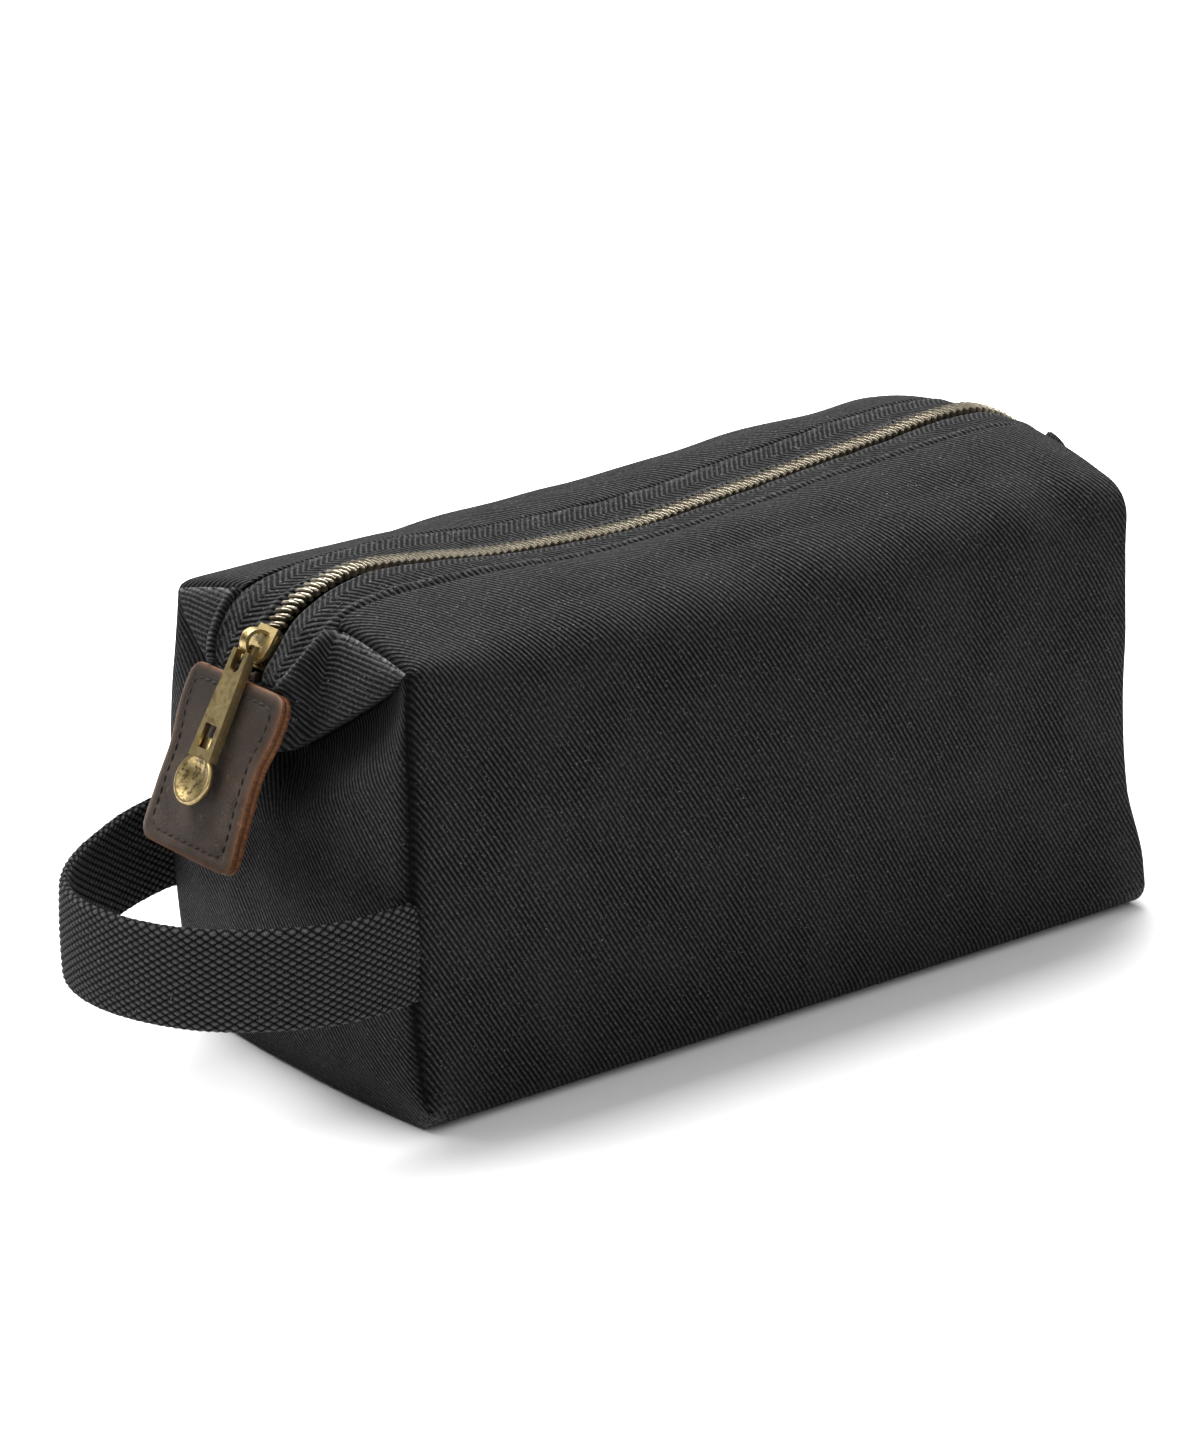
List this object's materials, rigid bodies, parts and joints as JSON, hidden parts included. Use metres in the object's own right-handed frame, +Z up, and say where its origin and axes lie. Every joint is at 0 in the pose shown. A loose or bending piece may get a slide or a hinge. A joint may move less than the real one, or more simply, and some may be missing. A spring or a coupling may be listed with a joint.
{
  "type": "shaving kit bag",
  "caption": "Soft zipped wash bag in dark cotton twill with a webbing carry loop, a metal zip with a folded pull and a stitched leather tab.",
  "frame": {"origin": "centre of the flat base, on the surface that the bag stands on", "axes": "+X along the length, away from the strap and the zip tab; -Y is the front face; +Z is up"},
  "size_m": [0.3369, 0.1151, 0.1452],
  "materials": {
    "twill": "washed cotton twill, matt",
    "lining": "plain woven lining",
    "zip_tape": "ribbed woven tape",
    "zip_teeth": "pale antique brass",
    "slider": "antique brass, worn bright at the edges",
    "pawl": "bright steel spring",
    "leather": "oiled pull-up leather with raw edges",
    "thread": "waxed thread",
    "webbing": "heavy cotton webbing"
  },
  "bodies": {
    "bag": {"body_panel": "twill", "end_panel_near": "twill", "end_panel_far": "twill", "lining": "lining", "zip_tape_near_end": "zip_tape", "zip_teeth_near_end": "zip_teeth", "zip_top_stops": "zip_teeth", "zip_tape_far_end": "zip_tape", "zip_teeth_far_end": "zip_teeth", "zip_bottom_stop": "zip_teeth", "strap_tails": "webbing"},
    "front_top": {"top_panel_front": "twill", "top_lining_front": "lining", "zip_tape_front": "zip_tape", "zip_teeth_front": "zip_teeth"},
    "back_top": {"top_panel_back": "twill", "top_lining_back": "lining", "zip_tape_back": "zip_tape", "zip_teeth_back": "zip_teeth"},
    "slider": {"slider_body": "slider", "slider_crown": "slider", "slider_pawl": "pawl"},
    "pull": {"pull_bar": "slider", "pull_tongue": "slider"},
    "tab": {"tab_outer_leather": "leather", "tab_inner_leather": "leather", "tab_stitching": "thread"},
    "strap": {"strap_webbing": "webbing"}
  },
  "joints": [
    {"name": "slider_travel", "type": "hinge", "parent": "bag", "child": "slider", "pos_m": [0.00311, 0, -0.14738], "axis": [0, 1, 0], "range_deg": [0, 48], "deforming": ["zip_tape_near_end", "zip_teeth_near_end"]},
    {"name": "front_top_open", "type": "hinge", "parent": "bag", "child": "front_top", "pos_m": [0, -0.0536, 0.116], "axis": [1, 0, 0], "range_deg": [0, 60.5], "deforming": ["zip_tape_front", "zip_teeth_front"]},
    {"name": "back_top_open", "type": "hinge", "parent": "bag", "child": "back_top", "pos_m": [0, 0.0536, 0.116], "axis": [-1, 0, 0], "range_deg": [0, 60.5], "deforming": ["zip_tape_back", "zip_teeth_back"]},
    {"name": "pull_flip", "type": "hinge", "parent": "slider", "child": "pull", "pos_m": [-0.14839, 0, 0.12654], "axis": [0, 1, 0], "range_deg": [0, 180]},
    {"name": "tab_bend", "type": "hinge", "parent": "bag", "child": "tab", "pos_m": [-0.1489, 0.001, 0.1172], "axis": [0, 1, 0], "range_deg": [-18, 0]},
    {"name": "strap_swing", "type": "hinge", "parent": "bag", "child": "strap", "pos_m": [-0.1365, 0, 0.053], "axis": [0, 1, 0], "range_deg": [-28, 36], "deforming": ["strap_tails"]}
  ],
  "couplings": [
    {"joint": "front_top_open", "follows": "slider_travel", "ratio": 1.25},
    {"joint": "back_top_open", "follows": "slider_travel", "ratio": 1.25}
  ]
}
